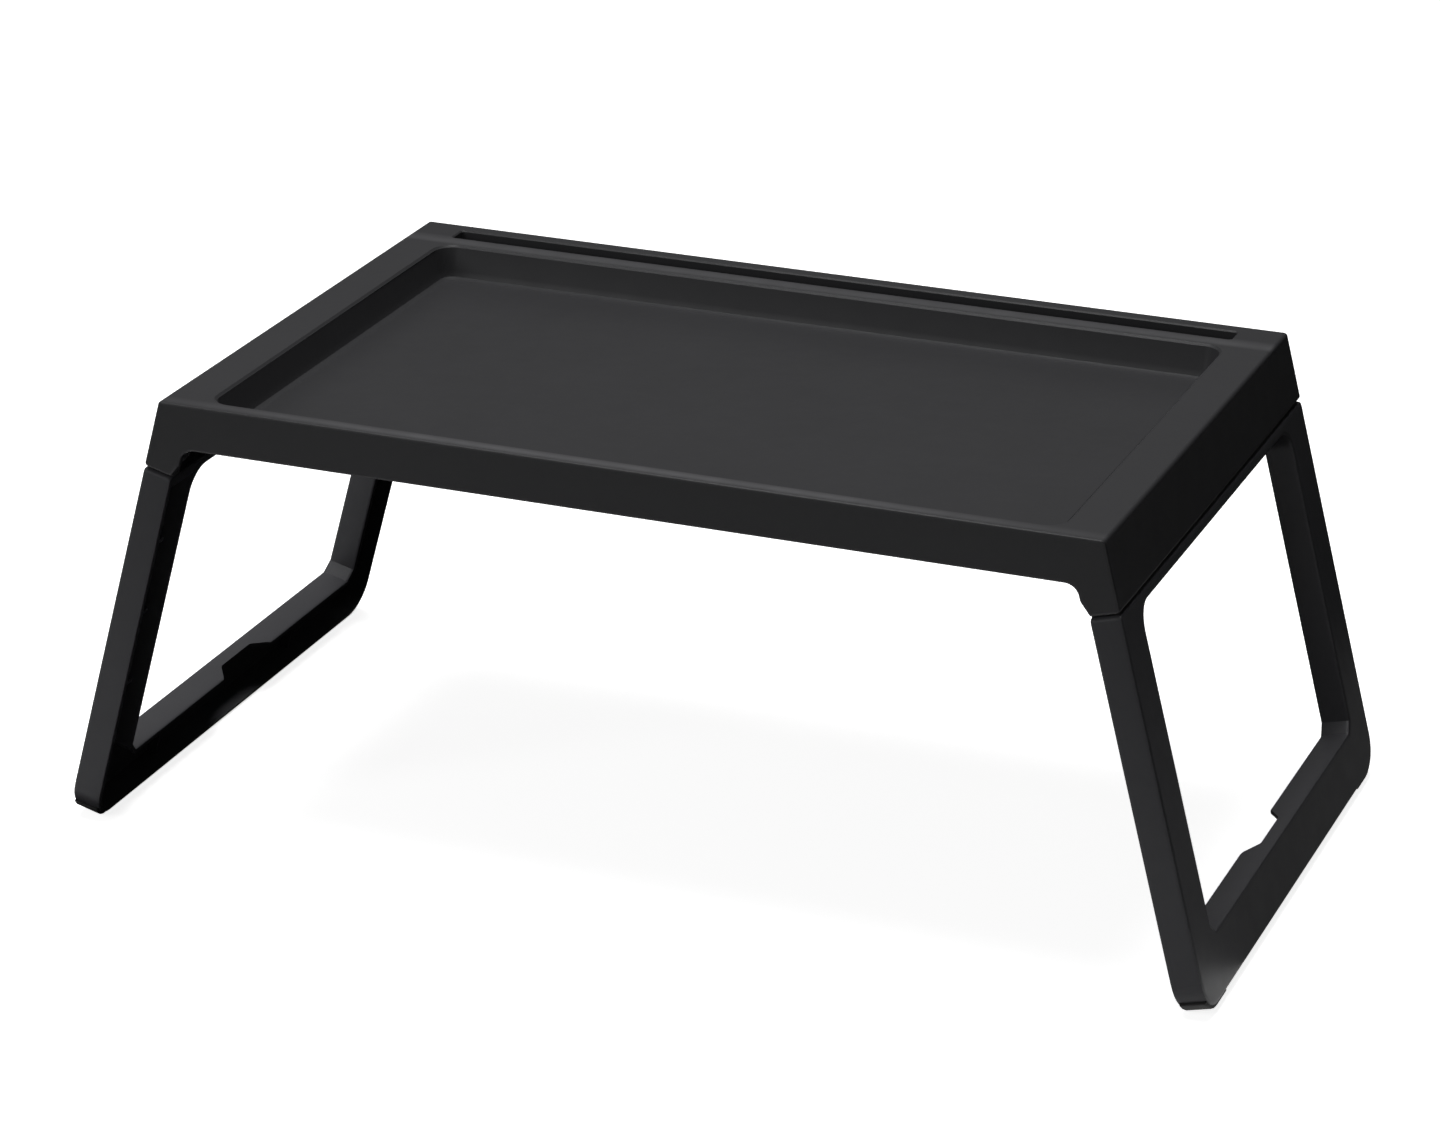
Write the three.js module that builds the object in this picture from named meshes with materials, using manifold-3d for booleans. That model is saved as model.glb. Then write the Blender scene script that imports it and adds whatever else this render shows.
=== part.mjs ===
// Folding tray table for bed or lap: one moulded tray top, two moulded leg frames that fold under it.
// Millimetres, +Z up, origin on the floor below the middle of the table, front edge towards -Y.
import * as THREE from "three";
import { mergeVertices } from "three/addons/utils/BufferGeometryUtils.js";
import Module from "manifold-3d";

// Overall form
const tableHeight = 267;
const topLength = 549;
const topDepth = 362;
const splayDegrees = 14.7;

// Tray top
const skirtHeight = 27.2;
const skirtWall = 3;
const topSkin = 3;
const wellSkin = 2.6;
const edgeRound = 2.6;
const faceRound = 2;
const endRimWidth = 26.5;
const frontRimWidth = 11;
const backRimWidth = 40;
const wellDepth = 20;
const wellDraft = 3;
const wellCornerRadius = 12;
const wellFloorFillet = 5;
const rimChamfer = 1.2;

// Tablet slot in the back rim
const slotWidth = 15;
const slotDepth = 16;
const slotLipWidth = 11;
const slotEndInset = 27;
const slotCornerRadius = 2;
const slotChamfer = 0.8;

// Leg frame
const legThickness = 18;
const postDepth = 33;
const barHeight = 34;
const railHeight = 7;
const legWall = 3;
const legOuterRound = 2.4;
const legInnerRound = 1.8;
const footCornerRadius = 20;
const shoulderCornerRadius = 2.8;
const windowChamfer = 6;
const windowFillet = 13;
const ribThickness = 2.4;
const ribSetback = 9;
const postRibShares = [0.25, 0.5, 0.75];
const barRibShares = [0.2, 0.8];

// Finger notch in the flange of the bottom bar
const notchDepth = 9;
const notchFloorLength = 38;
const notchMouthLength = 65;
const notchOffset = 2;
const notchFillet = 5;

// Hinge
const pivotDrop = 33;
const pivotInset = 3.84;
const seamDrop = 10.8;
const seamGap = 1;
const stubRadius = 7;
const stubFillet = 8;
const stubLeanDegrees = 15;
const stubSeamStart = -3.2;
const seamRound = 2.4;
const lugRadius = 5.6;
const lugThickness = 8;
const lugNeckOuter = 5.5;
const lugNeckInner = 3.2;
const bracketThickness = 3;
const bracketRadius = 6.5;
const pinRadius = 2;
const pinHeadRadius = 3.6;
const pinHeadThickness = 1.6;
const pinBlindDepth = 2;

// Rubber foot pads
const padThickness = 2.7;
const padSeatDepth = 1.5;
const padInset = 1.5;
const padFlatWidth = 3.5;
const padStraightLength = 19;
const padArcDegrees = 52;

// Fits and clearances
const seatGap = 0.3;
const sideGap = 0.6;
const runningGap = 0.05;
const cutOverrun = 4;
const weldOverlap = 0.4;
const samePoint = 0.001;

// Fineness of curves
const edgeSegments = 2;
const curveSegments = 4;
const roundSegments = 24;

// Derived places
const half = 1 / 2;
const splay = THREE.MathUtils.degToRad(splayDegrees);
const halfLength = topLength * half;
const halfDepth = topDepth * half;
const pivotHeight = tableHeight - pivotDrop;
const outerFace = legThickness - pivotInset;
const pivotX = halfLength + pivotDrop * Math.tan(splay) - outerFace / Math.cos(splay);
const seamTop = -(seamDrop - seamGap * half);
const shoulderTop = -(seamDrop + seamGap * half);
const railBottom = shoulderTop - railHeight;
const padProud = padThickness + seatGap - padSeatDepth;
const padFlatX = padInset + padFlatWidth - pivotInset;
const padBottom = -(pivotHeight + padFlatX * Math.sin(splay)) / Math.cos(splay);
const barBottom = padBottom + padProud;
const barTop = barBottom + barHeight;
const wellFloor = tableHeight - wellDepth;
const wellHalfLength = halfLength - endRimWidth;
const wellFront = frontRimWidth - halfDepth;
const wellBack = halfDepth - backRimWidth;
const wellMiddle = (wellFront + wellBack) * half;
const wellHalfDepth = (wellBack - wellFront) * half;
const slotBack = halfDepth - slotLipWidth;
const slotMiddle = slotBack - slotWidth * half;
const slotHalfLength = halfLength - slotEndInset;
const lugOuterY = halfDepth - skirtWall - sideGap;
const lugInnerY = lugOuterY - lugThickness;
const bracketOuterY = lugInnerY - sideGap;
const bracketInnerY = bracketOuterY - bracketThickness;

const wasm = await Module();
wasm.setup();

// Turns a three.js geometry into a solid for joining and cutting.
function solid(geometry) {
  const bare = geometry.index ? geometry.toNonIndexed() : geometry.clone();
  bare.deleteAttribute("normal");
  bare.deleteAttribute("uv");
  const welded = mergeVertices(bare, samePoint);
  const corners = welded.index.array;
  const kept = [];
  for (let i = 0; i < corners.length; i += 3) {
    const [a, b, c] = [corners[i], corners[i + 1], corners[i + 2]];
    if (a !== b && b !== c && c !== a) {
      kept.push(a, b, c);
    }
  }
  const data = {
    numProp: 3,
    vertProperties: Float32Array.from(welded.attributes.position.array),
    triVerts: Uint32Array.from(kept),
  };
  return new wasm.Manifold(new wasm.Mesh(data));
}

// Turns a finished solid back into a three.js geometry.
function geometryOf(shape) {
  const data = shape.getMesh();
  const stride = data.numProp;
  const count = data.vertProperties.length / stride;
  const points = new Float32Array(count * 3);
  for (let i = 0; i < count; i += 1) {
    points[i * 3] = data.vertProperties[i * stride];
    points[i * 3 + 1] = data.vertProperties[i * stride + 1];
    points[i * 3 + 2] = data.vertProperties[i * stride + 2];
  }
  const geometry = new THREE.BufferGeometry();
  geometry.setAttribute("position", new THREE.BufferAttribute(points, 3));
  geometry.setIndex(new THREE.BufferAttribute(Uint32Array.from(data.triVerts), 1));
  const flat = geometry.toNonIndexed();
  flat.computeVertexNormals();
  return flat;
}

// Extrusion directions: along +Z as drawn, along Y for side views, along X for end views.
const alongY = new THREE.Matrix4().makeBasis(
  new THREE.Vector3(1, 0, 0), new THREE.Vector3(0, 0, 1), new THREE.Vector3(0, -1, 0));
const alongX = new THREE.Matrix4().makeBasis(
  new THREE.Vector3(0, 1, 0), new THREE.Vector3(0, 0, 1), new THREE.Vector3(1, 0, 0));

// Prism of a shape from one level to another, with optional rounded edges on both ends.
function prism(shape, low, high, round = 0) {
  const geometry = new THREE.ExtrudeGeometry(shape, {
    depth: high - low - round - round,
    bevelEnabled: round > 0,
    bevelThickness: round,
    bevelSize: round,
    bevelOffset: -round,
    bevelSegments: edgeSegments,
    curveSegments,
  });
  geometry.translate(0, 0, low + round);
  return geometry;
}

// Prism drawn in the side view, from one Y to another.
function prismAlongY(shape, low, high, round = 0) {
  const geometry = prism(shape, -high, -low, round);
  geometry.applyMatrix4(alongY);
  return geometry;
}

// Prism drawn in the end view, from one X to another.
function prismAlongX(shape, low, high, round = 0) {
  const geometry = prism(shape, low, high, round);
  geometry.applyMatrix4(alongX);
  return geometry;
}

// Box between two opposite corners.
function box(corner, opposite) {
  const bounds = new THREE.Box3().setFromPoints([corner, opposite]);
  const size = bounds.getSize(new THREE.Vector3());
  const middle = bounds.getCenter(new THREE.Vector3());
  const geometry = new THREE.BoxGeometry(size.x, size.y, size.z);
  geometry.translate(middle.x, middle.y, middle.z);
  return solid(geometry);
}

// Round bar lying along Y between two ends.
function barAlongY(radius, start, end) {
  const geometry = new THREE.CylinderGeometry(radius, radius, Math.abs(end - start), roundSegments);
  geometry.translate(0, (start + end) * half, 0);
  return solid(geometry);
}

// Closed outline through corner points, each corner rounded by its own radius.
function roundedOutline(corners, Kind = THREE.Shape) {
  const count = corners.length;
  const points = corners.flatMap((corner, index) => {
    const here = new THREE.Vector2(corner.x, corner.y);
    if (corner.r === 0) {
      return [here];
    }
    const before = corners[(index + count - 1) % count];
    const after = corners[(index + 1) % count];
    const back = new THREE.Vector2(before.x, before.y).sub(here).normalize();
    const ahead = new THREE.Vector2(after.x, after.y).sub(here).normalize();
    const halfAngle = Math.acos(back.dot(ahead)) * half;
    const inward = back.clone().add(ahead).normalize();
    const centre = inward.multiplyScalar(corner.r / Math.sin(halfAngle)).add(here);
    const reach = corner.r / Math.tan(halfAngle);
    const from = back.clone().multiplyScalar(reach).add(here).sub(centre);
    const to = ahead.clone().multiplyScalar(reach).add(here).sub(centre);
    const clockwise = back.cross(ahead) > 0;
    const arc = new THREE.Path();
    arc.absarc(centre.x, centre.y, corner.r, from.angle(), to.angle(), clockwise);
    return arc.getPoints(curveSegments);
  });
  return new Kind(distinctPoints(points));
}

// Points of an outline without repeats, the closing one included.
function distinctPoints(points) {
  const kept = [];
  for (const point of points) {
    const last = kept[kept.length - 1];
    if (!last || last.distanceTo(point) > samePoint) {
      kept.push(point);
    }
  }
  while (kept[0].distanceTo(kept[kept.length - 1]) < samePoint) {
    kept.pop();
  }
  return kept;
}

// Rounded rectangle in plan around a middle point.
function roundedPlate(halfX, halfY, radius, middleY = 0) {
  return roundedOutline([
    { x: -halfX, y: middleY - halfY, r: radius },
    { x: halfX, y: middleY - halfY, r: radius },
    { x: halfX, y: middleY + halfY, r: radius },
    { x: -halfX, y: middleY + halfY, r: radius },
  ]);
}

// Block whose walls lean outwards from the given plan up to a level, by the given draft.
function draftedBlock(plan, low, high, draft) {
  const geometry = new THREE.ExtrudeGeometry(plan, {
    depth: cutOverrun,
    bevelEnabled: true,
    bevelThickness: high - low,
    bevelSize: draft,
    bevelOffset: 0,
    bevelSegments: 1,
    curveSegments,
  });
  geometry.translate(0, 0, high);
  return solid(geometry);
}

// Point given in the leaning frame of the right leg, as seen from the front of the table.
function leaning(across, up) {
  return {
    x: pivotX + across * Math.cos(splay) - up * Math.sin(splay),
    y: pivotHeight + across * Math.sin(splay) + up * Math.cos(splay),
  };
}

// Height in the leaning frame at which a line across from the pivot reaches a level.
function leaningRise(across, level) {
  return (level - pivotHeight - across * Math.sin(splay)) / Math.cos(splay);
}

// Corner that the round of the stub cuts off: where its leaning side would meet the line to the seam.
function stubCorner(sideTouch) {
  const seam = leaning(stubSeamStart, seamTop);
  const toSeam = new THREE.Vector2(seam.x - pivotX, seam.y - pivotHeight);
  const seamTouch = toSeam.angle() - Math.acos(stubRadius / toSeam.length());
  const middle = (sideTouch + seamTouch) * half;
  const reach = stubRadius / Math.cos((seamTouch - sideTouch) * half);
  return { x: pivotX + reach * Math.cos(middle), y: pivotHeight + reach * Math.sin(middle) };
}

// Front view of the tray: straight skirt, a stub round each hinge with a leaning side, leaning ends.
function trayFrontOutline() {
  const seamOuter = leaning(outerFace, seamTop);
  const seamInner = leaning(stubSeamStart, seamTop);
  const sideTouch = Math.PI + THREE.MathUtils.degToRad(stubLeanDegrees);
  const stub = stubCorner(sideTouch);
  const skirtBottom = tableHeight - skirtHeight;
  const rise = skirtBottom - pivotHeight;
  const sideTop = pivotX + (stubRadius - rise * Math.sin(sideTouch)) / Math.cos(sideTouch);
  return roundedOutline([
    { x: -halfLength, y: tableHeight, r: edgeRound },
    { x: -seamOuter.x, y: seamOuter.y, r: seamRound },
    { x: -seamInner.x, y: seamInner.y, r: 0 },
    { x: -stub.x, y: stub.y, r: stubRadius },
    { x: -sideTop, y: skirtBottom, r: stubFillet },
    { x: sideTop, y: skirtBottom, r: stubFillet },
    { x: stub.x, y: stub.y, r: stubRadius },
    { x: seamInner.x, y: seamInner.y, r: 0 },
    { x: seamOuter.x, y: seamOuter.y, r: seamRound },
    { x: halfLength, y: tableHeight, r: edgeRound },
  ]);
}

// Room below the top skin and between the skirts and ends.
function trayHollow() {
  const across = outerFace - skirtWall;
  const top = leaning(across, leaningRise(across, tableHeight - topSkin));
  const low = leaning(across, seamTop - cutOverrun);
  const outline = roundedOutline([
    { x: -top.x, y: top.y, r: 0 },
    { x: -low.x, y: low.y, r: 0 },
    { x: low.x, y: low.y, r: 0 },
    { x: top.x, y: top.y, r: 0 },
  ]);
  const reach = halfDepth - skirtWall;
  return solid(prismAlongY(outline, -reach, reach));
}

// Space of the well, open at the top.
function wellSpace() {
  const lowX = wellHalfLength - wellDraft;
  const lowY = wellHalfDepth - wellDraft;
  const lowPlan = roundedPlate(lowX, lowY, wellCornerRadius - wellDraft, wellMiddle);
  const highPlan = roundedPlate(wellHalfLength, wellHalfDepth, wellCornerRadius, wellMiddle);
  const pan = solid(prism(lowPlan, wellFloor, tableHeight, wellFloorFillet));
  const walls = draftedBlock(lowPlan, wellFloor + wellFloorFillet, tableHeight, wellDraft);
  const rim = draftedBlock(highPlan, tableHeight - rimChamfer, tableHeight, rimChamfer);
  return pan.add(walls).add(rim);
}

// Walls and floor around the well, seen from below.
function wellShell() {
  const lowX = wellHalfLength - wellDraft + wellSkin;
  const lowY = wellHalfDepth - wellDraft + wellSkin;
  const plan = roundedPlate(lowX, lowY, wellCornerRadius, wellMiddle);
  return draftedBlock(plan, wellFloor - wellSkin, tableHeight, wellDraft);
}

// Space of the tablet slot, open at the top.
function slotSpace() {
  const plan = roundedPlate(slotHalfLength, slotWidth * half, slotCornerRadius, slotMiddle);
  const groove = solid(prism(plan, tableHeight - slotDepth, tableHeight + cutOverrun));
  return groove.add(draftedBlock(plan, tableHeight - slotChamfer, tableHeight, slotChamfer));
}

// Walls and floor around the tablet slot.
function slotShell() {
  const plan = roundedPlate(
    slotHalfLength + wellSkin, slotWidth * half + wellSkin, slotCornerRadius + wellSkin, slotMiddle);
  return solid(prism(plan, tableHeight - slotDepth - wellSkin, tableHeight));
}

// Bracket that holds the inner end of one hinge pin; side is +1 for the back, -1 for the front.
function hingeBracket(side) {
  const wallAcross = outerFace - skirtWall + weldOverlap;
  const ceiling = tableHeight - topSkin + weldOverlap;
  const top = leaning(wallAcross, leaningRise(wallAcross, ceiling));
  const low = leaning(wallAcross, -bracketRadius);
  const turn = bracketRadius * Math.tan((Math.PI * half - splay) * half);
  const plate = roundedOutline([
    { x: pivotX - bracketRadius, y: ceiling, r: 0 },
    { x: pivotX - bracketRadius, y: pivotHeight - turn, r: bracketRadius },
    { x: low.x, y: low.y, r: 0 },
    { x: top.x, y: top.y, r: 0 },
  ]);
  const near = Math.min(side * bracketInnerY, side * bracketOuterY);
  return solid(prismAlongY(plate, near, near + bracketThickness));
}

// Hole for one hinge pin, blind in the skirt.
function pinHole(side) {
  const inner = side * (bracketInnerY - cutOverrun);
  const outer = side * (halfDepth - skirtWall + pinBlindDepth);
  const hole = barAlongY(pinRadius + runningGap, inner, outer);
  return hole.translate([pivotX, 0, pivotHeight]);
}

// The tray top in one piece.
function trayTop() {
  const block = solid(prismAlongY(trayFrontOutline(), -halfDepth, halfDepth, faceRound));
  let tray = block.subtract(trayHollow());
  tray = tray.add(wellShell().intersect(block)).add(slotShell().intersect(block));
  for (const turn of [0, 180]) {
    for (const side of [-1, 1]) {
      tray = tray.add(hingeBracket(side).rotate([0, 0, turn]));
    }
  }
  tray = tray.subtract(wellSpace()).subtract(slotSpace());
  for (const turn of [0, 180]) {
    for (const side of [-1, 1]) {
      tray = tray.subtract(pinHole(side).rotate([0, 0, turn]));
    }
  }
  return tray;
}

// Outline of the leg frame in its own plane: foot corners large, shoulder corners small.
function frameOutline() {
  return roundedOutline([
    { x: -halfDepth, y: barBottom, r: footCornerRadius },
    { x: halfDepth, y: barBottom, r: footCornerRadius },
    { x: halfDepth, y: shoulderTop, r: shoulderCornerRadius },
    { x: -halfDepth, y: shoulderTop, r: shoulderCornerRadius },
  ]);
}

// Window of the leg frame: cut corners at the bottom bar, rounded corners at the top rail.
function windowOutline() {
  const side = halfDepth - postDepth;
  return roundedOutline([
    { x: -side, y: railBottom, r: windowFillet },
    { x: side, y: railBottom, r: windowFillet },
    { x: side, y: barTop + windowChamfer, r: 0 },
    { x: side - windowChamfer, y: barTop, r: 0 },
    { x: windowChamfer - side, y: barTop, r: 0 },
    { x: -side, y: barTop + windowChamfer, r: 0 },
  ], THREE.Path);
}

// Pocket that cores the two posts and the bar from the inner side.
function corePocket() {
  const outerSide = halfDepth - legWall;
  const innerSide = halfDepth - postDepth + legWall;
  const cut = windowChamfer + legWall + legWall - legWall * Math.SQRT2;
  const floor = barTop - legWall;
  const outline = roundedOutline([
    { x: -outerSide, y: railBottom, r: 0 },
    { x: -outerSide, y: barBottom + legWall, r: footCornerRadius - legWall },
    { x: outerSide, y: barBottom + legWall, r: footCornerRadius - legWall },
    { x: outerSide, y: railBottom, r: 0 },
    { x: innerSide, y: railBottom, r: 0 },
    { x: innerSide, y: floor + cut, r: 0 },
    { x: innerSide - cut, y: floor, r: 0 },
    { x: cut - innerSide, y: floor, r: 0 },
    { x: -innerSide, y: floor + cut, r: 0 },
    { x: -innerSide, y: railBottom, r: 0 },
  ]);
  return solid(prismAlongX(outline, -pivotInset - cutOverrun, outerFace - legWall));
}

// Cross ribs that stiffen the cored posts and bar.
function coreRibs() {
  const ribs = [];
  const inner = ribSetback - pivotInset;
  const outer = outerFace - legWall + weldOverlap;
  const halfRib = ribThickness * half;
  for (const share of postRibShares) {
    const level = railBottom + (barTop - railBottom) * share;
    for (const side of [-1, 1]) {
      const near = side * (halfDepth - postDepth + weldOverlap);
      const far = side * (halfDepth - weldOverlap);
      ribs.push(box(
        new THREE.Vector3(inner, near, level - halfRib),
        new THREE.Vector3(outer, far, level + halfRib)));
    }
  }
  const reach = halfDepth - postDepth;
  for (const share of barRibShares) {
    const place = reach * (share + share - 1);
    ribs.push(box(
      new THREE.Vector3(inner, place - halfRib, barBottom + legWall - weldOverlap),
      new THREE.Vector3(outer, place + halfRib, barTop - legWall + weldOverlap)));
  }
  return ribs;
}

// Finger notch through the upper flange of the bottom bar, open to the inner side.
function notchSpace() {
  const halfFloor = notchFloorLength * half;
  const halfMouth = notchMouthLength * half;
  const depthX = notchDepth - pivotInset;
  const widen = (halfMouth - halfFloor) * cutOverrun / notchDepth;
  const openX = -pivotInset - cutOverrun;
  const outline = roundedOutline([
    { x: openX, y: -notchOffset - halfMouth - widen, r: 0 },
    { x: depthX, y: -notchOffset - halfFloor, r: notchFillet },
    { x: depthX, y: -notchOffset + halfFloor, r: notchFillet },
    { x: openX, y: -notchOffset + halfMouth + widen, r: 0 },
  ]);
  return solid(prism(outline, barTop - legWall - weldOverlap, barTop + cutOverrun));
}

// Band that follows a foot corner, between two offsets from the outline of the leg.
function footBand(side, inwards, outwards, endGap) {
  const centreY = halfDepth - footCornerRadius;
  const centreZ = barBottom + footCornerRadius;
  const innerRadius = footCornerRadius - inwards;
  const outerRadius = footCornerRadius + outwards;
  const endTurn = -Math.PI * half + THREE.MathUtils.degToRad(padArcDegrees) + endGap / footCornerRadius;
  const straightEnd = centreY - padStraightLength - endGap;
  const points = [new THREE.Vector2(straightEnd, centreZ - innerRadius)];
  points.push(new THREE.Vector2(straightEnd, centreZ - outerRadius));
  for (let i = 0; i <= curveSegments; i += 1) {
    const turn = -Math.PI * half + (endTurn + Math.PI * half) * i / curveSegments;
    points.push(new THREE.Vector2(
      centreY + outerRadius * Math.cos(turn), centreZ + outerRadius * Math.sin(turn)));
  }
  for (let i = curveSegments; i >= 0; i -= 1) {
    const turn = -Math.PI * half + (endTurn + Math.PI * half) * i / curveSegments;
    points.push(new THREE.Vector2(
      centreY + innerRadius * Math.cos(turn), centreZ + innerRadius * Math.sin(turn)));
  }
  return new THREE.Shape(points.map((p) => new THREE.Vector2(p.x * side, p.y)));
}

// Seat for a foot pad, cut into the corner of the leg.
function padSeat(side) {
  const inner = padInset - seatGap - pivotInset;
  const outer = outerFace - padInset + seatGap;
  return solid(prismAlongX(footBand(side, padSeatDepth, cutOverrun, seatGap), inner, outer));
}

// Lug of the leg frame around one hinge pin.
function hingeLug(side) {
  const near = side * lugInnerY;
  const far = side * lugOuterY;
  const eye = barAlongY(lugRadius, near, far);
  const neck = box(
    new THREE.Vector3(-lugNeckInner, near, shoulderTop - weldOverlap),
    new THREE.Vector3(lugNeckOuter, far, 0));
  const overrun = side * cutOverrun;
  const hole = barAlongY(pinRadius + runningGap, near - overrun, far + overrun);
  return eye.add(neck).subtract(hole);
}

// Full block of the leg frame with its window, its outer edges rounder than its inner ones.
function frameBlock() {
  const outline = frameOutline();
  outline.holes.push(windowOutline());
  const innerPart = prismAlongX(outline, -pivotInset, outerFace - legOuterRound, legInnerRound);
  const outerPart = prismAlongX(outline, legOuterRound - pivotInset, outerFace, legOuterRound);
  return solid(innerPart).add(solid(outerPart));
}

// One leg frame in its own leaning frame, with the pivot at the origin.
function legFrame() {
  let leg = frameBlock().subtract(corePocket());
  for (const rib of coreRibs()) {
    leg = leg.add(rib);
  }
  leg = leg.subtract(notchSpace());
  for (const side of [-1, 1]) {
    leg = leg.subtract(padSeat(side)).add(hingeLug(side));
  }
  return leg;
}

// One foot pad in the leaning frame of the leg.
function footPad(side) {
  const band = footBand(side, padSeatDepth - seatGap, padProud, 0);
  return solid(prismAlongX(band, padInset - pivotInset, outerFace - padInset));
}

// One hinge pin with its head against the bracket, in the leaning frame of the leg.
function hingePin(side) {
  const headBase = bracketInnerY - seatGap;
  const headTop = headBase - pinHeadThickness;
  const tip = halfDepth - skirtWall + pinBlindDepth - seatGap;
  const shank = barAlongY(pinRadius, side * headBase, side * tip);
  const head = barAlongY(pinHeadRadius, side * headTop, side * headBase);
  return shank.add(head);
}

// Moves a piece from the leaning frame of the right leg to the table, or turned about to the left.
function placed(shape, turn) {
  const upright = shape.rotate([0, -splayDegrees, 0]).translate([pivotX, 0, pivotHeight]);
  return upright.rotate([0, 0, turn]);
}

// Floor cut that gives each foot pad its flat.
function aboveFloor(shape) {
  const reach = topLength;
  const below = box(new THREE.Vector3(-reach, -reach, -reach), new THREE.Vector3(reach, reach, 0));
  return shape.subtract(below);
}

const blackPlastic = { color: "#343436", roughness: 0.52, metalness: 0 };
const legPlastic = { color: "#3b3b3d", roughness: 0.55, metalness: 0 };
const padRubber = { color: "#0f0f10", roughness: 0.85, metalness: 0 };
const pinSteel = { color: "#4a4b4e", roughness: 0.42, metalness: 1 };

const table = new THREE.Group();
table.name = "tray_table";

function addPiece(name, shape, look) {
  const mesh = new THREE.Mesh(geometryOf(shape), new THREE.MeshStandardMaterial({ ...look, name }));
  mesh.name = name;
  table.add(mesh);
}

addPiece("tray_top", trayTop(), blackPlastic);
for (const end of [{ name: "right", turn: 0 }, { name: "left", turn: 180 }]) {
  addPiece("leg_frame_" + end.name, placed(legFrame(), end.turn), legPlastic);
  for (const side of [-1, 1]) {
    const facing = end.turn === 0 ? side : -side;
    const place = end.name + (facing < 0 ? "_front" : "_back");
    addPiece("hinge_pin_" + place, placed(hingePin(side), end.turn), pinSteel);
    addPiece("foot_pad_" + place, aboveFloor(placed(footPad(side), end.turn)), padRubber);
  }
}

export default table;
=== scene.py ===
# Folding tray table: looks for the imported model, seen at the photograph's angle.
# Metres, +Z up, origin on the floor below the middle of the table, front edge towards -Y.
import math

import bpy
from mathutils import Matrix, Vector


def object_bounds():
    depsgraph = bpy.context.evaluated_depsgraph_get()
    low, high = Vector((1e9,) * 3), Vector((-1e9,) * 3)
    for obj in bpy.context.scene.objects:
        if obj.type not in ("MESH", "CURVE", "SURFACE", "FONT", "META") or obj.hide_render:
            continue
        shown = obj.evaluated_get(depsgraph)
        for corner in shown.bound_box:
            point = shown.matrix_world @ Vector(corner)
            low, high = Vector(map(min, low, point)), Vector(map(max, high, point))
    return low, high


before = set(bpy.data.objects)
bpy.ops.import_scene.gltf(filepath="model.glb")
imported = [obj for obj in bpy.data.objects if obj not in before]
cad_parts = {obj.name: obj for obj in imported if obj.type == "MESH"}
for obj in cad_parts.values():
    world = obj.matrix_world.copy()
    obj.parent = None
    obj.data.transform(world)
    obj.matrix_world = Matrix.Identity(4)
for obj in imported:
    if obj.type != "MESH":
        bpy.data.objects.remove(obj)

size_before = [list(corner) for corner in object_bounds()]

MM = 0.001

# Front and back edge and top of the table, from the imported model
FRONT_EDGE = size_before[0][1]
BACK_EDGE = size_before[1][1]
TABLE_TOP = size_before[1][2]

# Camera, fitted to the straight edges of the photograph: pixels, degrees, metres, the sensor in mm
IMAGE_WIDTH = 1440
SENSOR_WIDTH = 36.0
FOCAL_PIXELS = 4757.61
CAMERA_AZIMUTH = 21.22
CAMERA_ELEVATION = 21.67
CAMERA_ROLL = 0.56
CAMERA_DISTANCE = 2.75073
CAMERA_TARGET = Vector((-7.34, -3.28, 146.14)) * MM
CAMERA_NEAR = 0.05
CAMERA_FAR = 100.0

# Softening of moulded edges, angles in degrees
WELD_REACH = 0.001 * MM
FLAT_ANGLE = 0.6
SMOOTH_ANGLE = 34.0
EDGE_WIDTH = 0.45 * MM
PIN_EDGE_WIDTH = 0.25 * MM
PAD_EDGE_WIDTH = 0.6 * MM
EDGE_SEGMENTS = 2
NORMAL_WEIGHT = 100

# The two plastics: colours of their patches, of rubbed edges and of painted highlights, and roughness
TRAY_PLASTIC = dict(
    dark=(0.0285, 0.0285, 0.0302, 1), light=(0.0388, 0.0388, 0.0411, 1),
    wear_and_highlight=(0.090, 0.090, 0.095, 1), smooth=0.42, rough=0.44)
LEG_PLASTIC = dict(
    dark=(0.0425, 0.0425, 0.0463, 1), light=(0.0555, 0.0555, 0.0605, 1),
    wear_and_highlight=(0.080, 0.080, 0.086, 1), smooth=0.44, rough=0.47)
PLASTIC_IOR = 1.49

# Patterns of the plastics, scales in repeats per metre
PATCHES = dict(scale=9.0, detail=4.0, roughness=0.55, distortion=0.4)
CLOUDS = dict(scale=55.0, detail=5.0, roughness=0.6)
WAVES = dict(scale=38.0, detail=2.0, roughness=0.5)
GRAIN = dict(scale=1900.0, detail=3.0, roughness=0.65)
PIT_SCALE = 1250.0
PIT_SMOOTHNESS = 0.6
WAVE_BUMP = dict(strength=0.18, depth=0.12 * MM)
GRAIN_BUMP = dict(strength=0.5, depth=0.03 * MM)
PIT_BUMP = dict(strength=0.35, depth=0.03 * MM)

# Ranges over which the patterns change colour, roughness, wear and painted highlight, and by how much
SPECKLE_RANGE = (0.3, 0.72)
ROUGHNESS_RANGE = (0.3, 0.7)
CLOUD_ROUGHNESS = 0.02
BROKEN_RANGE = (0.35, 0.7)
BROKEN_SHARE = (0.35, 0.7)
UPWARD_RANGE = (0.5, 0.9)

# Specular level of plain plastic and of the zones with the painted highlight
PLAIN_SPECULAR = 0.2
HIGHLIGHT_SPECULAR = 0.75

# Rubbed edges: their reach, and the cosines of the turn at which they are full and at which they begin
EDGE_REACH = 0.9 * MM
EDGE_TURN = (0.8, 0.995)
EDGE_SAMPLES = 6
EDGE_WEAR = 0.2
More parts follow.
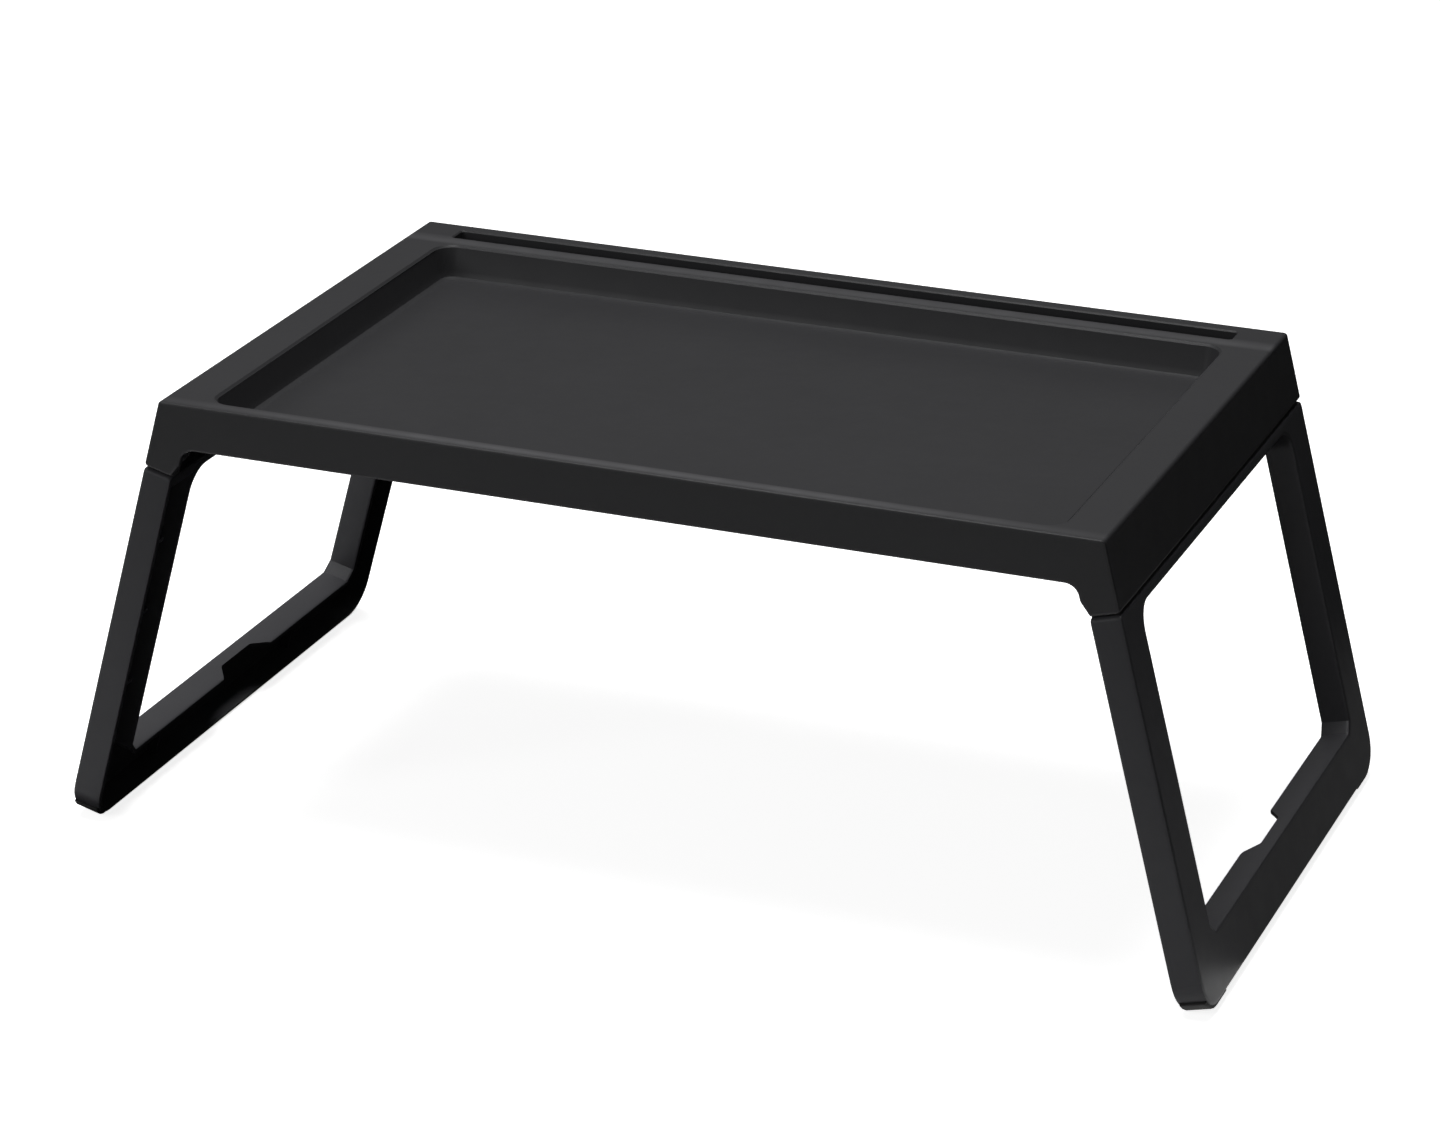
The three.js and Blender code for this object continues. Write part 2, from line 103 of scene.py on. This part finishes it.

# Painted highlight, a lighter colour on the top of the rim where light falls brightest: each pair is
# where a zone starts to change and where it has changed
HIGHLIGHT_START = (FRONT_EDGE + 0.5 * MM, FRONT_EDGE + 4.5 * MM)
HIGHLIGHT_FRONT = (FRONT_EDGE + 6 * MM, FRONT_EDGE + 12 * MM)
HIGHLIGHT_MIDDLE = (120 * MM, 260 * MM)
HIGHLIGHT_BACK = (BACK_EDGE - 39 * MM, BACK_EDGE - 35 * MM)
HIGHLIGHT_BACK_END = (BACK_EDGE - 32 * MM, BACK_EDGE - 23 * MM)
HIGHLIGHT_HEIGHT = (TABLE_TOP - 11 * MM, TABLE_TOP - 5 * MM)
HIGHLIGHT_CORNER_SHARE = 0.35
HIGHLIGHT_BACK_SHARE = 0.7
HIGHLIGHT_END_SHARE = 0.06
# Painted highlight on the upward faces of the legs
LEG_TOP_HIGHLIGHT_SHARE = 0.45

# Rubber of the foot pads
RUBBER_CLEAN = (0.008, 0.008, 0.008, 1)
RUBBER_DUSTY = (0.028, 0.027, 0.026, 1)
RUBBER_CLOUDS = dict(scale=90.0, detail=6.0, roughness=0.7)
RUBBER_GRAIN = dict(scale=2600.0, detail=4.0, roughness=0.7)
RUBBER_BUMP = dict(strength=0.6, depth=0.05 * MM)
RUBBER_ROUGHNESS = (0.72, 0.92)
RUBBER_IOR = 1.45
DUST_RANGE = (0.55, 0.8)
DUST_SHARE = 0.5

# Steel of the hinge pins
STEEL_DARK = (0.055, 0.057, 0.062, 1)
STEEL_LIGHT = (0.085, 0.086, 0.090, 1)
STEEL_CLOUDS = dict(scale=420.0, detail=4.0, roughness=0.6)
STEEL_ROUGHNESS = (0.28, 0.42)
RING_SCALE = 900.0
RING_WAVINESS = 3.0
RING_BUMP = dict(strength=0.25, depth=0.02 * MM)

# Floor and world, each with the level that is looked at and the level that lights the table
FLOOR_HALF = 20.0
FLOOR_COLOUR = (0.05, 0.05, 0.05, 1)
FLOOR_SEEN_COLOUR = (0.97, 0.97, 0.97, 1)
FLOOR_SEEN = 0.84
WORLD_COLOUR = (1, 1, 1, 1)
WORLD_STRENGTH = 0.05
WORLD_SEEN = 1.0

# Cards on the floor for reflections, each as its left, front, right and back side, and their grey levels
CARD_LIFT = 0.5 * MM
# The black card under the table is painted shade: in reflections it stands for the floor shaded by the
# table
UNDER_CARD = (-0.36, -0.19, 0.30, 0.45)
BESIDE_CARD = (0.30, -0.10, 0.62, 0.45)
RIGHT_CARD = (0.62, -0.10, 2.6, 3.4)
BEHIND_CARD = (-0.5, 0.45, 0.62, 3.4)
BEFORE_CARD = (-1.8, -1.9, 0.6, -0.5)
BLACK_CARD = 0.0
DIM_CARD = 0.05
GREY_CARD = 0.2
FRONT_CARD = 0.4

# Standing card behind on the right, by its two lower corners and its height, and the tent round all
FAR_CARD = ((0.2, 2.3), (2.3, 1.2))
FAR_CARD_TOP = 0.8
TENT_HALF = 9.0
TENT_TOP = 7.0

# Soft boxes: overhead and behind for the sheen of the top, front left for the skirts, powers in watts
TOP_BOX = dict(place=(-0.6, 2.2, 1.6), target=(0, 0, 0.25), width=3.0, height=1.6, power=1.5)
OVERHEAD_BOX = dict(place=(-0.25, 0.1, 2.4), target=(0, 0, 0.2), width=1.6, height=1.2, power=47)
FRONT_BOX = dict(place=(-1.4, -2.6, 1.5), target=(0, 0, 0.1), width=1.8, height=1.4, power=22)


def camera_axes():
    """Right, up and back directions of the fitted camera."""
    azimuth = math.radians(CAMERA_AZIMUTH)
    elevation = math.radians(CAMERA_ELEVATION)
    roll = math.radians(CAMERA_ROLL)
    flat = math.cos(elevation)
    back = Vector((math.sin(azimuth) * flat, -math.cos(azimuth) * flat, math.sin(elevation)))
    right = (-back).cross(Vector((0, 0, 1))).normalized()
    up = right.cross(-back)
    turned_right = right * math.cos(roll) + up * math.sin(roll)
    turned_up = up * math.cos(roll) - right * math.sin(roll)
    return turned_right, turned_up, back


def add_camera():
    """Camera at the photograph's place and angle."""
    right, up, back = camera_axes()
    data = bpy.data.cameras.new("camera")
    data.sensor_fit = "HORIZONTAL"
    data.sensor_width = SENSOR_WIDTH
    data.lens = FOCAL_PIXELS / IMAGE_WIDTH * SENSOR_WIDTH
    data.clip_start = CAMERA_NEAR
    data.clip_end = CAMERA_FAR
    camera = bpy.data.objects.new("camera", data)
    place = CAMERA_TARGET + back * CAMERA_DISTANCE
    matrix = Matrix((right, up, back)).transposed().to_4x4()
    matrix.translation = place
    camera.matrix_world = matrix
    bpy.context.scene.collection.objects.link(camera)
    bpy.context.scene.camera = camera


class Nodes:
    """Short way to add and join the nodes of one material, or of the world where one is given."""

    def __init__(self, name, world=None):
        self.material = world or bpy.data.materials.new(name)
        self.material.use_nodes = True
        self.tree = self.material.node_tree
        if world is None:
            self.shader = self.tree.nodes["Principled BSDF"]
            self.output = self.tree.nodes["Material Output"]
        else:
            self.shader = self.tree.nodes["Background"]

    def add(self, kind, **values):
        node = self.tree.nodes.new(kind)
        for name, value in values.items():
            setattr(node, name, value)
        return node

    def join(self, start, end):
        self.tree.links.new(start, end)

    def place(self):
        """Coordinates of the piece itself, so that patterns move with it."""
        return self.add("ShaderNodeTexCoord").outputs["Object"]

    def noise(self, scale, detail, roughness, distortion=0.0):
        node = self.add("ShaderNodeTexNoise")
        node.inputs["Scale"].default_value = scale
        node.inputs["Detail"].default_value = detail
        node.inputs["Roughness"].default_value = roughness
        node.inputs["Distortion"].default_value = distortion
        self.join(self.place(), node.inputs["Vector"])
        return node.outputs["Fac"]

    def cells(self, scale, smoothness):
        node = self.add("ShaderNodeTexVoronoi", feature="SMOOTH_F1")
        node.inputs["Scale"].default_value = scale
        node.inputs["Smoothness"].default_value = smoothness
        self.join(self.place(), node.inputs["Vector"])
        return node.outputs["Distance"]

    def spread(self, value, low, high, start=0.0, end=1.0):
        """A value that goes from start to end, spread evenly from low to high."""
        node = self.add("ShaderNodeMapRange")
        node.inputs["From Min"].default_value = start
        node.inputs["From Max"].default_value = end
        node.inputs["To Min"].default_value = low
        node.inputs["To Max"].default_value = high
        self.join(value, node.inputs["Value"])
        return node.outputs["Result"]

    def split(self, vector):
        node = self.add("ShaderNodeSeparateXYZ")
        self.join(vector, node.inputs["Vector"])
        return node.outputs

    def maths(self, operation, *values):
        node = self.add("ShaderNodeMath", operation=operation)
        for value, socket in zip(values, node.inputs):
            self.join(value, socket)
        return node.outputs["Value"]

    def highest(self, first, second):
        return self.maths("MAXIMUM", first, second)

    def product(self, first, second):
        return self.maths("MULTIPLY", first, second)

    def mixed(self, share, first, second):
        """Mix of two colours, each a constant or the output of a node."""
        node = self.add("ShaderNodeMix", data_type="RGBA")
        self.join(share, node.inputs["Factor"])
        first_colour, second_colour = [socket for socket in node.inputs if socket.type == "RGBA"]
        for socket, colour in ((first_colour, first), (second_colour, second)):
            if isinstance(colour, tuple):
                socket.default_value = colour
            else:
                self.join(colour, socket)
        return next(socket for socket in node.outputs if socket.type == "RGBA")

    def mixed_shaders(self, share, first, second):
        node = self.add("ShaderNodeMixShader")
        self.join(share, node.inputs["Fac"])
        self.join(first, node.inputs[1])
        self.join(second, node.inputs[2])
        return node.outputs["Shader"]

    def looked_at(self):
        """1 for what the camera sees, straight, mirrored or through glass."""
        path = self.add("ShaderNodeLightPath")
        straight = self.highest(path.outputs["Is Camera Ray"], path.outputs["Is Glossy Ray"])
        return self.highest(straight, path.outputs["Is Transmission Ray"])

    def bump(self, height, strength, depth, after=None):
        """Bumps of a depth in metres, on top of those of another bump node where one is given."""
        node = self.add("ShaderNodeBump")
        node.inputs["Strength"].default_value = strength
        node.inputs["Distance"].default_value = depth
        self.join(height, node.inputs["Height"])
        if after is not None:
            self.join(after, node.inputs["Normal"])
        return node.outputs["Normal"]

    def edge(self, radius, start, end):
        """How far a point lies on a rounded edge, from 0 on a flat face to 1."""
        bevel = self.add("ShaderNodeBevel", samples=EDGE_SAMPLES)
        bevel.inputs["Radius"].default_value = radius
        geometry = self.add("ShaderNodeNewGeometry")
        along = self.add("ShaderNodeVectorMath", operation="DOT_PRODUCT")
        self.join(bevel.outputs["Normal"], along.inputs[0])
        self.join(geometry.outputs["True Normal"], along.inputs[1])
        return self.spread(along.outputs["Value"], 1.0, 0.0, start, end)


def upward(m, share):
    """Share of a surface that faces up, none on walls."""
    geometry = m.add("ShaderNodeNewGeometry")
    facing = m.split(geometry.outputs["True Normal"])
    return m.spread(facing["Z"], 0.0, share, *UPWARD_RANGE)


def front_highlight_share(m, where):
    """Share of painted highlight along the front edge of the rim, less towards its corners."""
    along_depth = m.spread(where["Y"], 1.0, HIGHLIGHT_END_SHARE, *HIGHLIGHT_FRONT)
    from_middle = m.maths("ABSOLUTE", where["X"])
    return m.product(along_depth, m.spread(from_middle, 1.0, HIGHLIGHT_CORNER_SHARE, *HIGHLIGHT_MIDDLE))


def rim_highlight_share(m):
    """Share of painted highlight: top of the rim, most at the front edge and on the strip before the
    slot.
    """
    where = m.split(m.place())
    back = m.spread(where["Y"], HIGHLIGHT_END_SHARE, HIGHLIGHT_BACK_SHARE, *HIGHLIGHT_BACK)
    share = m.highest(front_highlight_share(m, where), back)
    share = m.product(share, m.spread(where["Y"], 1.0, 0.0, *HIGHLIGHT_BACK_END))
    share = m.product(share, m.spread(where["Y"], 0.0, 1.0, *HIGHLIGHT_START))
    share = m.product(share, m.spread(where["Z"], 0.0, 1.0, *HIGHLIGHT_HEIGHT))
    return m.product(share, upward(m, 1.0))


def leg_highlight_share(m):
    """Share of painted highlight: upward faces of the bars and rails, lighter where the light falls on
    them.
    """
    return upward(m, LEG_TOP_HIGHLIGHT_SHARE)


def moulded_plastic(name, highlight_share, dark, light, wear_and_highlight, smooth, rough):
    """Black moulded plastic: spark-eroded grain, patchy sheen, edges rubbed a little lighter, and a
    painted highlight, lighter colour and higher specular level, where the share function gives it.
    """
    m = Nodes(name)
    patches = m.noise(**PATCHES)
    cloud = m.noise(**CLOUDS)
    grain = m.noise(**GRAIN)
    pits = m.cells(PIT_SCALE, PIT_SMOOTHNESS)
    highlight_mask = highlight_share(m)
    tone = m.mixed(patches, dark, light)
    speckle = m.mixed(m.spread(grain, 0.0, 1.0, *SPECKLE_RANGE), tone, m.mixed(cloud, light, dark))
    edges = m.spread(m.edge(EDGE_REACH, *EDGE_TURN), 0.0, EDGE_WEAR)
    # The lighter colour is real wear on the edges and painted highlight on the rim and the bar tops
    wear_and_highlight_share = m.product(m.highest(edges, highlight_mask), m.spread(cloud, *BROKEN_SHARE, *BROKEN_RANGE))
    m.join(m.mixed(wear_and_highlight_share, speckle, wear_and_highlight), m.shader.inputs["Base Color"])
    cloudy = m.spread(cloud, -CLOUD_ROUGHNESS, CLOUD_ROUGHNESS, *ROUGHNESS_RANGE)
    patchy = m.spread(patches, smooth, rough, *ROUGHNESS_RANGE)
    m.join(m.maths("ADD", cloudy, patchy), m.shader.inputs["Roughness"])
    m.shader.inputs["IOR"].default_value = PLASTIC_IOR
    m.join(m.spread(highlight_mask, PLAIN_SPECULAR, HIGHLIGHT_SPECULAR), m.shader.inputs["Specular IOR Level"])
    waves = m.bump(m.noise(**WAVES), **WAVE_BUMP)
    fine = m.bump(grain, **GRAIN_BUMP, after=waves)
    m.join(m.bump(pits, **PIT_BUMP, after=fine), m.shader.inputs["Normal"])
    return m.material


def pad_rubber():
    """Dull black rubber with a little dust in its pores."""
    m = Nodes("pad_rubber")
    grain = m.noise(**RUBBER_GRAIN)
    dusty = m.spread(m.noise(**RUBBER_CLOUDS), 0.0, DUST_SHARE, *DUST_RANGE)
    m.join(m.mixed(dusty, RUBBER_CLEAN, RUBBER_DUSTY), m.shader.inputs["Base Color"])
    m.join(m.spread(grain, *RUBBER_ROUGHNESS), m.shader.inputs["Roughness"])
    m.shader.inputs["IOR"].default_value = RUBBER_IOR
    m.join(m.bump(grain, **RUBBER_BUMP), m.shader.inputs["Normal"])
    return m.material


def pin_steel():
    """Blackened steel wire: fine rings round the shank, slightly patchy."""
    m = Nodes("pin_steel")
    rings = m.add("ShaderNodeTexWave", bands_direction="Y")
    rings.inputs["Scale"].default_value = RING_SCALE
    rings.inputs["Distortion"].default_value = RING_WAVINESS
    m.join(m.place(), rings.inputs["Vector"])
    cloud = m.noise(**STEEL_CLOUDS)
    m.join(m.mixed(cloud, STEEL_DARK, STEEL_LIGHT), m.shader.inputs["Base Color"])
    m.shader.inputs["Metallic"].default_value = 1.0
    m.join(m.spread(cloud, *STEEL_ROUGHNESS), m.shader.inputs["Roughness"])
    m.join(m.bump(rings.outputs["Fac"], **RING_BUMP), m.shader.inputs["Normal"])
    return m.material


def smooth_by_angle():
    """Node group that shades a mesh smooth except over sharp edges."""
    group = bpy.data.node_groups.new("smooth_by_angle", "GeometryNodeTree")
    group.interface.new_socket("Geometry", in_out="INPUT", socket_type="NodeSocketGeometry")
    group.interface.new_socket("Geometry", in_out="OUTPUT", socket_type="NodeSocketGeometry")
    start = group.nodes.new("NodeGroupInput")
    end = group.nodes.new("NodeGroupOutput")
    angle = group.nodes.new("GeometryNodeInputMeshEdgeAngle")
    below = group.nodes.new("FunctionNodeCompare")
    below.data_type = "FLOAT"
    below.operation = "LESS_THAN"
    below.inputs[1].default_value = math.radians(SMOOTH_ANGLE)
    faces = group.nodes.new("GeometryNodeSetShadeSmooth")
    faces.domain = "FACE"
    edges = group.nodes.new("GeometryNodeSetShadeSmooth")
    edges.domain = "EDGE"
    group.links.new(start.outputs[0], faces.inputs["Geometry"])
    group.links.new(faces.outputs["Geometry"], edges.inputs["Geometry"])
    group.links.new(angle.outputs["Unsigned Angle"], below.inputs[0])
    group.links.new(below.outputs["Result"], edges.inputs["Shade Smooth"])
    group.links.new(edges.outputs["Geometry"], end.inputs[0])
    return group


def soften(piece, width, group):
    """Joins flat facets, rounds the moulded edges and shades the curves smooth."""
    weld = piece.modifiers.new("weld", "WELD")
    weld.merge_threshold = WELD_REACH
    facets = piece.modifiers.new("facets", "DECIMATE")
    facets.decimate_type = "DISSOLVE"
    facets.angle_limit = math.radians(FLAT_ANGLE)
    smooth = piece.modifiers.new("smooth", "NODES")
    smooth.node_group = group
    rounds = piece.modifiers.new("rounds", "BEVEL")
    rounds.width = width
    rounds.segments = EDGE_SEGMENTS
    rounds.limit_method = "ANGLE"
    rounds.angle_limit = math.radians(SMOOTH_ANGLE)
    rounds.use_clamp_overlap = True
    shading = piece.modifiers.new("shading", "WEIGHTED_NORMAL")
    shading.mode = "FACE_AREA_WITH_ANGLE"
    shading.weight = NORMAL_WEIGHT
    shading.keep_sharp = True


def dress(name, material, width, group):
    """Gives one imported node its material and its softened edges."""
    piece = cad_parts[name]
    piece.data.materials.clear()
    piece.data.materials.append(material)
    soften(piece, width, group)


def dress_all():
    """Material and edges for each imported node."""
    group = smooth_by_angle()
    plastic = moulded_plastic("black_plastic", rim_highlight_share, **TRAY_PLASTIC)
    leg = moulded_plastic("leg_plastic", leg_highlight_share, **LEG_PLASTIC)
    rubber = pad_rubber()
    steel = pin_steel()
    dress("tray_top", plastic, EDGE_WIDTH, group)
    for end in ("right", "left"):
        dress("leg_frame_" + end, leg, EDGE_WIDTH, group)
        for place in ("front", "back"):
            dress("hinge_pin_" + end + "_" + place, steel, PIN_EDGE_WIDTH, group)
            dress("foot_pad_" + end + "_" + place, rubber, PAD_EDGE_WIDTH, group)


def floor_material():
    """White where it is looked at, with the table's shadow, grey for bounced light, open from below."""
    m = Nodes("floor")
    m.tree.nodes.remove(m.shader)
    grey = m.add("ShaderNodeBsdfDiffuse")
    grey.inputs["Color"].default_value = FLOOR_COLOUR
    pale = m.add("ShaderNodeBsdfDiffuse")
    pale.inputs["Color"].default_value = FLOOR_SEEN_COLOUR
    white = m.add("ShaderNodeEmission")
    white.inputs["Strength"].default_value = FLOOR_SEEN
    seen = m.add("ShaderNodeAddShader")
    m.join(white.outputs["Emission"], seen.inputs[0])
    m.join(pale.outputs["BSDF"], seen.inputs[1])
    above = m.mixed_shaders(m.looked_at(), grey.outputs["BSDF"], seen.outputs["Shader"])
    side = m.add("ShaderNodeNewGeometry")
    below = m.add("ShaderNodeBsdfTransparent")
    either = m.mixed_shaders(side.outputs["Backfacing"], above, below.outputs["BSDF"])
    m.join(either, m.output.inputs["Surface"])
    return m.material


def mesh_object(name, corners, faces, material):
    """Object of flat faces with one material."""
    mesh = bpy.data.meshes.new(name)
    mesh.from_pydata(corners, [], faces)
    mesh.materials.append(material)
    piece = bpy.data.objects.new(name, mesh)
    bpy.context.scene.collection.objects.link(piece)
    return piece


def rectangle(left, front, right, back, height):
    """Corners of a flat rectangle that faces up."""
    return [(left, front, height), (right, front, height), (right, back, height), (left, back, height)]


def add_floor():
    """Pale floor under all."""
    corners = rectangle(-FLOOR_HALF, -FLOOR_HALF, FLOOR_HALF, FLOOR_HALF, 0)
    floor = mesh_object("floor", corners, [(0, 1, 2, 3)], floor_material())


def card_material(name, level):
    """Plain glow of one grey level."""
    m = Nodes(name)
    m.tree.nodes.remove(m.shader)
    glow = m.add("ShaderNodeEmission")
    glow.inputs["Strength"].default_value = level
    m.join(glow.outputs["Emission"], m.output.inputs["Surface"])
    return m.material


def add_card(name, corners, faces, material):
    """Studio card that is seen only in the reflections of the model."""
    card = mesh_object(name, corners, faces, material)
    card.visible_camera = False
    card.visible_diffuse = False
    card.visible_shadow = False
    card.visible_transmission = False


def add_tent(material):
    """Four walls and a roof round all."""
    low = rectangle(-TENT_HALF, -TENT_HALF, TENT_HALF, TENT_HALF, CARD_LIFT)
    high = rectangle(-TENT_HALF, -TENT_HALF, TENT_HALF, TENT_HALF, TENT_TOP)
    faces = [(0, 1, 5, 4), (1, 2, 6, 5), (2, 3, 7, 6), (3, 0, 4, 7), (4, 5, 6, 7)]
    add_card("card_tent", low + high, faces, material)


def add_cards():
    """Black cards under and behind the table, greyer ones beside and before it, a dark tent round all."""
    black = card_material("card_black", BLACK_CARD)
    dim = card_material("card_dim", DIM_CARD)
    grey = card_material("card_grey", GREY_CARD)
    front = card_material("card_front", FRONT_CARD)
    lying = (("card_under", UNDER_CARD, black), ("card_beside", BESIDE_CARD, grey),
             ("card_right", RIGHT_CARD, dim), ("card_behind", BEHIND_CARD, black),
             ("card_before", BEFORE_CARD, front))
    for name, sides, material in lying:
        add_card(name, rectangle(*sides, CARD_LIFT), [(0, 1, 2, 3)], material)
    near, far = FAR_CARD
    corners = [(*near, CARD_LIFT), (*far, CARD_LIFT), (*far, FAR_CARD_TOP), (*near, FAR_CARD_TOP)]
    add_card("card_far", corners, [(0, 1, 2, 3)], black)
    add_tent(dim)


def add_world():
    """Even soft studio light from all round, white where it is looked at."""
    world = bpy.data.worlds.new("studio")
    m = Nodes("studio", world)
    m.shader.inputs["Color"].default_value = WORLD_COLOUR
    m.join(m.spread(m.looked_at(), WORLD_STRENGTH, WORLD_SEEN), m.shader.inputs["Strength"])
    bpy.context.scene.world = world


def add_softbox(name, place, target, width, height, power):
    """Rectangular soft light at a place, facing a target."""
    data = bpy.data.lights.new(name, "AREA")
    data.shape = "RECTANGLE"
    data.size = width
    data.size_y = height
    data.energy = power
    light = bpy.data.objects.new(name, data)
    light.location = place
    aim = Vector(target) - Vector(place)
    light.rotation_mode = "QUATERNION"
    light.rotation_quaternion = aim.to_track_quat("-Z", "Y")
    bpy.context.scene.collection.objects.link(light)


def main():
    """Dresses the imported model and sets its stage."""
    add_camera()
    dress_all()
    add_floor()
    add_cards()
    add_world()
    add_softbox("top_box", **TOP_BOX)
    add_softbox("overhead_box", **OVERHEAD_BOX)
    add_softbox("front_box", **FRONT_BOX)
    bpy.context.scene.view_settings.view_transform = "Standard"


main()
